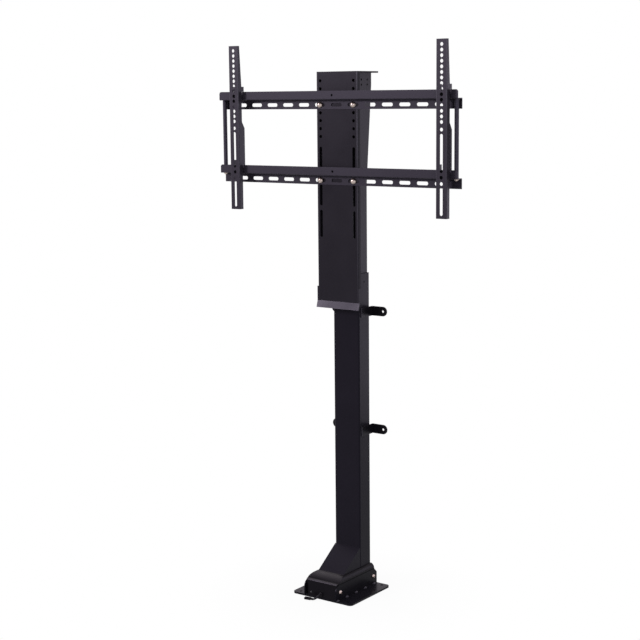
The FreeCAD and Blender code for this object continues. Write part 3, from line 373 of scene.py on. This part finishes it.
def pick(piece, faces=None, edges=None):
    """In edit mode, selects the faces or edges that pass a test on their centre and direction."""
    mesh = bmesh.from_edit_mesh(piece.data)
    bpy.ops.mesh.select_all(action="DESELECT")
    if faces:
        bpy.ops.mesh.select_mode(type="FACE")
        for face in mesh.faces:
            face.select_set(faces(face.calc_center_median(), face.normal))
    if edges:
        bpy.ops.mesh.select_mode(type="EDGE")
        for edge in mesh.edges:
            a, b = (v.co for v in edge.verts)
            edge.select_set(edges((a + b) / 2, (b - a).normalized()))
    bmesh.update_edit_mesh(piece.data)


def block(centre, size):
    """A block of that size about a centre, left active."""
    deselect_all()
    bpy.ops.mesh.primitive_cube_add(size=1, location=centre)
    piece = bpy.context.object
    piece.scale = size
    bpy.ops.object.transform_apply(location=True, rotation=True, scale=True)
    return piece


def soften(piece, offset, segments, edges):
    """Bevels the edges that pass a test on their centre and direction."""
    bpy.ops.object.mode_set(mode="EDIT")
    pick(piece, edges=edges)
    bpy.ops.mesh.bevel(offset=offset, segments=segments, affect="EDGES")
    bpy.ops.object.mode_set(mode="OBJECT")


def turned(profile, sides=28):
    """A turned piece about Z, drawn from a ring that is extruded and resized along its profile."""
    deselect_all()
    radius, height = profile[0]
    bpy.ops.mesh.primitive_circle_add(
        vertices=sides, radius=radius, fill_type="NGON", location=(0, 0, height))
    piece = bpy.context.object
    bpy.ops.object.transform_apply(location=True)
    bpy.ops.object.mode_set(mode="EDIT")
    bpy.ops.mesh.select_all(action="SELECT")
    bpy.ops.mesh.select_mode(type="FACE")
    for next_radius, next_height in profile[1:]:
        bpy.ops.mesh.extrude_region_move(TRANSFORM_OT_translate={"value": (0, 0, next_height - height)})
        share = next_radius / radius
        bpy.ops.transform.resize(value=(share, share, 1), center_override=(0, 0, next_height))
        radius, height = next_radius, next_height
    bpy.ops.mesh.select_all(action="SELECT")
    bpy.ops.mesh.normals_make_consistent(inside=False)
    bpy.ops.object.mode_set(mode="OBJECT")
    return piece


def sink(piece, sides, radius, floor, top):
    """Cuts a socket or a bore about Z into a piece, from a floor up to a top."""
    deselect_all()
    bpy.ops.mesh.primitive_cylinder_add(
        vertices=sides, radius=radius, depth=top - floor, location=(0, 0, (top + floor) / 2))
    cutter = bpy.context.object
    select([piece])
    hollow = piece.modifiers.new("socket", "BOOLEAN")
    hollow.object = cutter
    hollow.solver = "EXACT"
    bpy.ops.object.modifier_apply(modifier=hollow.name)
    bpy.data.objects.remove(cutter)


def sink_hexagon(piece, width, floor, top):
    """Cuts a hexagon socket of a width across its flats."""
    sink(piece, 6, width / math.sqrt(3), floor, top)


def copies(master, places):
    """One piece of copies of a master, each moved to a point with the master's +Z along an axis."""
    made = []
    for point, axis in places:
        select([master])
        bpy.ops.object.duplicate(linked=False)
        piece = bpy.context.object
        piece.matrix_world = Matrix.Translation(point) @ UP.rotation_difference(axis).to_matrix().to_4x4()
        bpy.ops.object.transform_apply(location=True, rotation=True, scale=True)
        made.append(piece)
    bpy.data.objects.remove(master)
    return joined(made)


def settle(piece, name, material, body, angle=35):
    """Names a finished piece, smooths it, gives it its finish and lets it ride on a body."""
    select([piece])
    bpy.ops.object.transform_apply(location=True, rotation=True, scale=True)
    bpy.ops.object.shade_smooth_by_angle(angle=math.radians(angle))
    piece.name = piece.data.name = name
    piece.data.materials.clear()
    piece.data.materials.append(material)
    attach(piece, body)


def dome(radius, rise, steps=6):
    """Profile of a dome head from its crown down to its rim, above height 0."""
    ball = (radius ** 2 + rise ** 2) / (2 * rise)
    reach = math.asin(min(1, radius / ball))
    return [(ball * math.sin(reach * n / steps), rise - ball + ball * math.cos(reach * n / steps))
            for n in range(1, steps + 1)]


def threaded(radius, top, bottom, pitch):
    """Profile of a threaded shank: a row of shallow grooves one pitch apart."""
    profile, height, depth = [(radius, top)], top, pitch * 0.5
    while height - pitch > bottom:
        profile += [(radius - depth, height - pitch / 2), (radius, height - pitch)]
        height -= pitch
    return profile + [(radius - depth, bottom)]


def bolt(head, rise, socket, end):
    """A dome-head bolt, with a hexagon socket if its width is given; its head stands on height 0."""
    sizes = bpy.context.scene.lift_sizes
    rim = 0.08 * rise
    crown = [(r, z + rim) for r, z in dome(head, rise - rim)]
    piece = turned(crown + [(head, 0), (SHANK, 0)] + threaded(SHANK, -end / 3, -end, sizes.thread_pitch))
    if socket:
        sink_hexagon(piece, socket, rise - sizes.socket_depth, rise * 1.5)
    return piece


def background_rays(tree):
    """Light Path, and the share of rays that see the background: the camera's, mirrored and through glass."""
    rays = add_node(tree, "ShaderNodeLightPath")
    seen = add_node(tree, "ShaderNodeMath", {
        0: rays.outputs["Is Camera Ray"], 1: rays.outputs["Is Glossy Ray"]}, operation="MAXIMUM")
    shown = add_node(tree, "ShaderNodeMath", {
        0: seen.outputs[0], 1: rays.outputs["Is Transmission Ray"]}, operation="MAXIMUM")
    return rays, shown.outputs[0]


class LIFT_OT_stage(bpy.types.Operator):
    """Camera, floor, lamps and white surroundings"""
    bl_idname = "lift.stage"
    bl_label = "Stage"

    CAMERA_PLACE = (2.1252, -3.0126, 1.2990)
    LENS, SENSOR = 81.32, 36
    PITCH, HEADING, ROLL = 8.805, 35.918, -0.561  # degrees: downward, to the left, and about the view
    FLOOR_DROP = 0.5 * MM  # keeps the floor clear of the base plate's underside
    SHADOW, SHADOW_FULL, SHADOW_END = 0.06, 0.1, 0.4  # its share, and how far it reaches, in metres
    AMBIENT = 0.35  # strength of the surroundings as a light
    MIRRORED = (1, 0.93, 0.99, 1)  # the surroundings' cast in mirror images
    BULB, VIOLET, ROSE = (1, 1, 1), (0.91, 0.86, 1), (1, 0.92, 0.95)
    LAMPS = (  # name, place, target, width, height, watts, hue
        ("ceiling lamp", (0.3, -0.6, 3.4), (0, 0, 0.6), 2.6, 2.6, 60, BULB),
        ("back lamp", (1.08, 2.02, 0.78), (0, 0, 0.78), 0.9, 1.55, 9.6, VIOLET),
        ("left lamp", (-1.77, 1.15, 2.43), (0, 0, 0.1), 1.6, 1.6, 16.5, ROSE),
        ("right lamp", (2.49, -1.68, 1.3), (0, 0, 1.2), 1.1, 1.2, 15, BULB),
        ("front lamp", (-3.14, -4.2, 2.57), (0, 0, 0.8), 1.1, 1.1, 200, ROSE))

    def execute(self, context):
        self.camera(context)
        self.floor(context)
        self.lamps()
        self.surroundings(context)
        return {"FINISHED"}

    def camera(self, context):
        deselect_all()
        bpy.ops.object.camera_add(location=self.CAMERA_PLACE)
        camera = context.object
        camera.name = "camera"
        camera.data.lens, camera.data.sensor_width = self.LENS, self.SENSOR
        aim = Euler((math.radians(90 - self.PITCH), 0, math.radians(self.HEADING))).to_matrix()
        roll = Matrix.Rotation(math.radians(self.ROLL), 3, "Z")
        camera.rotation_euler = (aim @ roll).to_euler()
        context.scene.camera = camera

    def floor(self, context):
        """White paper, on which a faint shadow shows close to the lift."""
        deselect_all()
        bpy.ops.mesh.primitive_plane_add(
            size=context.scene.lift_sizes.floor_size, location=(0, 0, -self.FLOOR_DROP))
        floor = context.object
        floor.name = "floor"
        material, tree = new_material("Pale floor")
        paint = add_node(tree, "ShaderNodeBsdfDiffuse", {"Color": context.scene.lift_finish.floor})
        paper = add_node(tree, "ShaderNodeEmission", {"Color": WHITE, "Strength": 1.0})
        shown = background_rays(tree)[1]
        place = add_node(tree, "ShaderNodeTexCoord").outputs["Object"]
        reach = add_node(tree, "ShaderNodeVectorMath", {0: place}, operation="LENGTH")
        bare = add_node(tree, "ShaderNodeMapRange", {
            "Value": reach.outputs["Value"], "From Min": self.SHADOW_FULL, "From Max": self.SHADOW_END,
            "To Min": 1 - self.SHADOW, "To Max": 1.0})
        share = add_node(tree, "ShaderNodeMath", {0: shown, 1: bare.outputs["Result"]}, operation="MULTIPLY")
        both = add_node(tree, "ShaderNodeMixShader", {
            0: share.outputs[0], 1: paint.outputs["BSDF"], 2: paper.outputs["Emission"]})
        add_node(tree, "ShaderNodeOutputMaterial", {"Surface": both.outputs["Shader"]})
        floor.data.materials.append(material)

    def lamps(self):
        for name, place, target, width, height, power, hue in self.LAMPS:
            deselect_all()
            bpy.ops.object.light_add(type="AREA", location=place)
            lamp = bpy.context.object
            lamp.name = name
            lamp.data.shape, lamp.data.size, lamp.data.size_y = "RECTANGLE", width, height
            lamp.data.energy, lamp.data.color = power, hue
            lamp.rotation_euler = (Vector(target) - Vector(place)).to_track_quat("-Z", "Y").to_euler()

    def surroundings(self, context):
        """A white backdrop that lights the lift less than it shows, a little rosy in mirror images."""
        world = bpy.data.worlds.new("White surroundings")
        context.scene.world = world
        world.use_nodes = True
        tree = world.node_tree
        tree.nodes.clear()
        rays, shown = background_rays(tree)
        strength = add_node(tree, "ShaderNodeMapRange", {
            "Value": shown, "To Min": self.AMBIENT, "To Max": 1.0})
        cast = add_node(tree, "ShaderNodeMix", {
            "Factor": rays.outputs["Is Glossy Ray"], "A": WHITE, "B": self.MIRRORED}, data_type="RGBA")
        sky = add_node(tree, "ShaderNodeBackground", {
            "Color": cast.outputs["Result"], "Strength": strength.outputs["Result"]})
        add_node(tree, "ShaderNodeOutputWorld", {"Surface": sky.outputs["Background"]})
        context.scene.view_settings.view_transform = "Standard"


class LIFT_OT_lead(bpy.types.Operator):
    """The short motor lead, its gland and its connector"""
    bl_idname = "lift.lead"
    bl_label = "Motor lead"

    # The lead's route from the gland to the connector, in millimetres.
    ROUTE = [(-2, -87, 13.7), (-2, -91, 13.7), (-2.7, -94.7, 12.5), (-4.1, -97.7, 10.2), (-6, -99.9, 7.4),
             (-8.9, -101.6, 5.2), (-12.5, -102.8, 4), (-16.4, -103.6, 4), (-20.3, -104.2, 4)]
    # The connector's block and its socket, its grip ribs, and the boot's radii and heights in millimetres.
    LONG, WIDE, TALL = 17 * MM, 9 * MM, 6 * MM
    SOCKET_RIM, SOCKET_DEPTH, ROUNDING = 1.2 * MM, 4 * MM, 1.4 * MM
    RIBS, RIB_START, RIB_STEP = 3, -5 * MM, 2.4 * MM
    RIB_SIZE, RIB_SUNK = (1.1 * MM, 6 * MM, 0.6 * MM), 0.35 * MM
    BOOT = [(2.6, -8), (2.8, -7.8), (2.8, -6), (2.6, -5.8), (2.9, -5.4), (2.9, -3.6), (2.7, -3.4), (3, -3),
            (3, 0.2)]
    # The gland's radii in millimetres, each at a share of its height, and the wall that it goes through.
    GLAND = [(2.6, 1), (4.2, 1), (5.5, 0.7), (5.5, 0.3), (5, 0.2), (5.5, 0), (3.4, 0)]
    WALL = 2.5 * MM

    def execute(self, context):
        points = [Vector(point) * MM for point in self.ROUTE]
        sizes = context.scene.lift_sizes
        lead = self.cord(context, points, sizes.lead_diameter)
        connector = self.connector(points)
        gland = self.gland(points[0])
        return {"FINISHED"}

    def cord(self, context, points, diameter):
        curve = bpy.data.curves.new("motor_lead_sheath", "CURVE")
        curve.dimensions = "3D"
        spline = curve.splines.new("NURBS")
        spline.points.add(len(points) - 1)
        for point, place in zip(spline.points, points):
            point.co = (*place, 1)
        spline.order_u = 3
        spline.use_endpoint_u = True
        curve.bevel_depth, curve.bevel_resolution, curve.resolution_u = diameter / 2, 6, 12
        curve.use_fill_caps = True
        lead = bpy.data.objects.new("motor_lead_sheath", curve)
        context.collection.objects.link(lead)
        curve.materials.append(finish("sheath"))
        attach(lead, STAND)
        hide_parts("motor_lead")
        return lead

    def connector(self, points):
        """Moulded connector: a bevelled block with a socket, grip ribs and a ringed boot on the lead."""
        shell = block((0, 0, 0), (self.LONG, self.WIDE, self.TALL))
        bpy.ops.object.mode_set(mode="EDIT")
        pick(shell, faces=lambda centre, normal: normal.x > 0.9)
        bpy.ops.mesh.inset(thickness=self.SOCKET_RIM)
        bpy.ops.mesh.extrude_region_move(TRANSFORM_OT_translate={"value": (-self.SOCKET_DEPTH, 0, 0)})
        bpy.ops.object.mode_set(mode="OBJECT")
        soften(shell, self.ROUNDING, 3,
               lambda centre, way: abs(way.x) > 0.9 and abs(centre.y) > 0.4 * self.WIDE)
        ribs = [block((self.RIB_START + n * self.RIB_STEP, 0, self.TALL / 2 - self.RIB_SUNK), self.RIB_SIZE)
                for n in range(self.RIBS)]
        boot = turned([(radius * MM, height * MM) for radius, height in self.BOOT])
        boot.matrix_world = Matrix.Translation((-self.LONG / 2, 0, 0)) @ Matrix.Rotation(
            math.radians(90), 4, "Y")
        bpy.ops.object.transform_apply(location=True, rotation=True)
        piece = joined([shell, *ribs, boot])
        way = (points[-1] - points[-2]).normalized()
        turn = Matrix.Rotation(math.atan2(way.y, way.x), 4, "Z")
        piece.matrix_world = Matrix.Translation(points[-1] + way * self.LONG / 2) @ turn
        settle(piece, "lead_connector_shell", finish("moulded_black"), STAND)
        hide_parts("lead_connector")
        return piece

    def gland(self, start):
        """Ribbed strain relief in the cover's front wall."""
        tip = COVER_FRONT - start.y
        profile = [(radius * MM, tip * share) for radius, share in self.GLAND]
        piece = turned([*profile, (profile[-1][0], -self.WALL)])
        piece.matrix_world = Matrix.Translation((start.x, COVER_FRONT, start.z)) @ Matrix.Rotation(
            math.radians(90), 4, "X")
        settle(piece, "cable_gland_body", finish("moulded_black"), STAND)
        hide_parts("cable_gland")
        return piece


class LIFT_OT_coats(bpy.types.Operator):
    """Powder coats, mouldings and metals on the lift's own pieces"""
    bl_idname = "lift.coats"
    bl_label = "Finishes"

    def execute(self, context):
        for name, nodes in COATED.items():
            for node in nodes:
                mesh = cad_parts[node].data
                mesh.materials.clear()
                mesh.materials.append(finish(name))
        return {"FINISHED"}


class LIFT_OT_welds(bpy.types.Operator):
    """Weld beads between the side plates and the base plate"""
    bl_idname = "lift.welds"
    bl_label = "Weld beads"

    COUNT = 5
    MIDDLE = 0.5 * MM  # middle of a row of beads, behind the origin
    RIPPLE = 0.25 * MM

    def execute(self, context):
        sizes = context.scene.lift_sizes
        deselect_all()
        bpy.ops.mesh.primitive_uv_sphere_add(segments=20, ring_count=12, radius=0.5)
        bead = context.object
        bead.scale = (sizes.bead_width, sizes.bead_length, sizes.bead_height * 2)
        bpy.ops.object.transform_apply(scale=True)
        bpy.ops.object.mode_set(mode="EDIT")
        bpy.ops.mesh.select_all(action="SELECT")
        bpy.ops.transform.vertex_random(offset=self.RIPPLE, seed=4)
        bpy.ops.mesh.select_all(action="SELECT")
        bpy.ops.mesh.bisect(plane_co=(0, 0, 0), plane_no=(0, 0, 1), clear_inner=True, use_fill=True)
        bpy.ops.object.mode_set(mode="OBJECT")
        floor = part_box("base_plate")[1].z
        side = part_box("side_plate_right")[1].x
        places = []
        for sign in (-1, 1):
            for n in range(self.COUNT):
                along = self.MIDDLE + sizes.bead_pitch * (n - (self.COUNT - 1) / 2)
                places.append((Vector((side * sign, along, floor)), UP))
        piece = copies(bead, places)
        settle(piece, "weld_beads", finish("weld_highlight_coat"), STAND, 60)
        return {"FINISHED"}


class LIFT_OT_bolts(bpy.types.Operator):
    """Dome bolts of the rails, the cover and the tie rods"""
    bl_idname = "lift.bolts"
    bl_label = "Bolts"

    # Radius and rise of each head, and length of its shank.
    RAIL_BOLT = 8 * MM, 7 * MM, 9.7 * MM
    COVER_SCREW = 5.5 * MM, 4.5 * MM, 2.9 * MM
    ROD_BOLT = 6 * MM, 5 * MM, 11.8 * MM
    SOCKET = 4 * MM

    def execute(self, context):
        low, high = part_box("rail_bolts")
        head, rise, end = self.RAIL_BOLT
        places = [(Vector((x, low.y + rise, z)), FORWARD)
                  for x in (low.x + head, high.x - head) for z in (low.z + head, high.z - head)]
        self.fit("rail_bolts", "rail_bolt_heads", CARRIAGE, bolt(head, rise, None, end), places)

        low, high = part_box("cover_screws")
        head, rise, end = self.COVER_SCREW
        places = [(Vector((x, y, (low.z + high.z) / 2)), Vector((sign, 0, 0)))
                  for x, sign in ((low.x + rise, -1), (high.x - rise, 1))
                  for y in (low.y + head, high.y - head)]
        self.fit("cover_screws", "cover_screw_heads", STAND, bolt(head, rise, self.SOCKET, end), places)

        low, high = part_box("tie_rod_bolts")
        head, rise, end = self.ROD_BOLT
        places = [(Vector((x, (low.y + high.y) / 2, low.z + rise)), DOWN)
                  for x in (low.x + head, high.x - head)]
        self.fit("tie_rod_bolts", "tie_rod_bolt_heads", CARRIAGE, bolt(head, rise, self.SOCKET, end), places)
        return {"FINISHED"}

    def fit(self, node, name, body, master, places):
        """Puts copies of a bolt in the places of the node's bolts."""
        piece = copies(master, places)
        settle(piece, name, finish("nickel"), body)
        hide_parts(node)


class LIFT_OT_nuts(bpy.types.Operator):
    """Chamfered nuts and washers behind the carriage panel"""
    bl_idname = "lift.nuts"
    bl_label = "Nuts"

    CORNER = 5.5 * MM  # radius over the nut's corners, and of the washer
    CHAMFER, BORE, WASHER_BORE = 0.7 * MM, 3 * MM, 3.1 * MM

    def execute(self, context):
        washer = context.scene.lift_sizes.washer_thick
        low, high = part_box("rail_nuts")
        thick, corner = high.y - low.y, self.CORNER
        deselect_all()
        bpy.ops.mesh.primitive_cylinder_add(
            vertices=6, radius=corner, depth=thick - washer, location=(0, 0, (thick + washer) / 2))
        nut = context.object
        bpy.ops.object.transform_apply(location=True)
        soften(nut, self.CHAMFER, 2, lambda centre, way: centre.z > thick - 0.1 * MM)
        ring = turned([(self.WASHER_BORE, 0), (corner, 0), (corner, washer * 0.8),
                       (corner - washer * 0.2, washer), (self.WASHER_BORE, washer)])
        nut = joined([nut, ring])
        sink(nut, 28, self.BORE, -thick, 2 * thick)
        places = [(Vector((x, low.y, z)), BACKWARD)
                  for x in (low.x + corner, high.x - corner) for z in (low.z + corner, high.z - corner)]
        piece = copies(nut, places)
        settle(piece, "rail_nut_bodies", finish("zinc"), CARRIAGE)
        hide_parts("rail_nuts")
        return {"FINISHED"}


class LIFT_OT_small_screws(bpy.types.Operator):
    """Blackened screws in the cover's front wall and in the carriage's cheeks"""
    bl_idname = "lift.small_screws"
    bl_label = "Small screws"

    # Places in millimetres.
    FRONT_SCREW = (-33.8, -84, 14)
    CHEEK, CHEEK_DEPTHS, CHEEK_HEIGHTS = 59.5, (26, 52), (1326.5, 1339)
    # The front screw's head and socket, and a cheek screw's head and shank.
    FRONT_HEAD, FRONT_RISE, FRONT_SOCKET, FRONT_FLOOR = 3 * MM, 1.6 * MM, 2.2 * MM, 0.7 * MM
    CHEEK_HEAD, CHEEK_RISE, CHEEK_SHANK, CHEEK_END = 2.7 * MM, 0.9 * MM, 2.1 * MM, 2.6 * MM

    def execute(self, context):
        head, rise = self.FRONT_HEAD, self.FRONT_RISE
        piece = turned(dome(head, rise) + [(head, 0)], 24)
        sink_hexagon(piece, self.FRONT_SOCKET, self.FRONT_FLOOR, rise * 1.5)
        piece = copies(piece, [(Vector(self.FRONT_SCREW) * MM, FORWARD)])
        settle(piece, "cover_front_screw", finish("black_oxide"), STAND)

        head, shank = self.CHEEK_HEAD, self.CHEEK_SHANK
        piece = turned(dome(head, self.CHEEK_RISE) + [(head, 0), (shank, 0), (shank, -self.CHEEK_END)], 20)
        places = [(Vector((self.CHEEK * sign, depth, height)) * MM, Vector((sign, 0, 0)))
                  for sign in (-1, 1) for depth in self.CHEEK_DEPTHS for height in self.CHEEK_HEIGHTS]
        settle(copies(piece, places), "cheek_screws", finish("dull_screw"), CARRIAGE)
        return {"FINISHED"}


class LIFT_OT_joint_shadows(bpy.types.Operator):
    """Thin dark strips along the joints between the cover and the side plates, painted shade for the shadow
    in those joints
    """
    bl_idname = "lift.seals"
    bl_label = "Cover seals"

    FRONT = -71 * MM  # where the side plates' straight top edges begin
    TALL, THICK, ROUNDING = 1.4 * MM, 0.25 * MM, 0.1 * MM

    def execute(self, context):
        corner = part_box("side_plate_right")[1]
        side, back = corner.x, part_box("motor_cover")[1].y
        strips = []
        for sign in (-1, 1):
            strip = block(((side + self.THICK / 2) * sign, (self.FRONT + back) / 2, corner.z),
                          (self.THICK, back - self.FRONT, self.TALL))
            soften(strip, self.ROUNDING, 2, lambda centre, way: abs(centre.x) > side + 0.9 * self.THICK)
            strips.append(strip)
        settle(joined(strips), "cover_seals", finish("rubber"), STAND)
        return {"FINISHED"}


class LIFT_OT_shade_pads(bpy.types.Operator):
    """Thin dark pads behind the hangers' webs at both rails, a dark stand-in for the shade seen through the
    webs' holes
    """
    bl_idname = "lift.pads"
    bl_label = "Hanger pads"

    WEB = 2 * MM  # thickness of a hanger's web
    WIDTH, THICK, ROUNDING = 25 * MM, 1 * MM, 0.3 * MM
    HEIGHTS = ((1282 * MM, 1307 * MM), (1097 * MM, 1120 * MM))  # bottom and top of each pad

    def execute(self, context):
        for hanger in ("hanger_left", "hanger_right"):
            low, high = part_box(hanger)
            across, depth = (low.x + high.x) / 2, low.y + self.WEB + self.THICK / 2
            pads = []
            for bottom, top in self.HEIGHTS:
                pad = block((across, depth, (bottom + top) / 2), (self.WIDTH, self.THICK, top - bottom))
                soften(pad, self.ROUNDING, 2, lambda centre, way: True)
                pads.append(pad)
            settle(joined(pads), f"{hanger}_pads", finish("rubber"), hanger)
        return {"FINISHED"}


class LIFT_PT_panel(bpy.types.Panel):
    """Sizes, colours and makers of the lift's dress"""
    bl_idname = "LIFT_PT_panel"
    bl_label = "Screen lift"
    bl_space_type = "VIEW_3D"
    bl_region_type = "UI"
    bl_category = "Screen lift"

    def draw(self, context):
        for group in (context.scene.lift_sizes, context.scene.lift_finish):
            for name in group.bl_rna.properties.keys():
                if name not in ("rna_type", "name"):
                    self.layout.prop(group, name)
        for operator in OPERATORS:
            self.layout.operator(operator.bl_idname)


OPERATORS = (LIFT_OT_stage, LIFT_OT_lead, LIFT_OT_coats, LIFT_OT_welds, LIFT_OT_bolts, LIFT_OT_nuts,
             LIFT_OT_small_screws, LIFT_OT_joint_shadows, LIFT_OT_shade_pads)
CLASSES = (LiftFinish, LiftSizes, *OPERATORS, LIFT_PT_panel)


def register():
    for item in CLASSES:
        bpy.utils.register_class(item)
    bpy.types.Scene.lift_finish = bpy.props.PointerProperty(type=LiftFinish)
    bpy.types.Scene.lift_sizes = bpy.props.PointerProperty(type=LiftSizes)


def unregister():
    del bpy.types.Scene.lift_sizes
    del bpy.types.Scene.lift_finish
    for item in reversed(CLASSES):
        bpy.utils.unregister_class(item)


def main():
    register()
    bpy.ops.lift.stage()
    bpy.ops.lift.lead()
    bpy.ops.lift.coats()
    bpy.ops.lift.welds()
    bpy.ops.lift.bolts()
    bpy.ops.lift.nuts()
    bpy.ops.lift.small_screws()
    bpy.ops.lift.seals()
    bpy.ops.lift.pads()


if __name__ == "__main__":
    main()
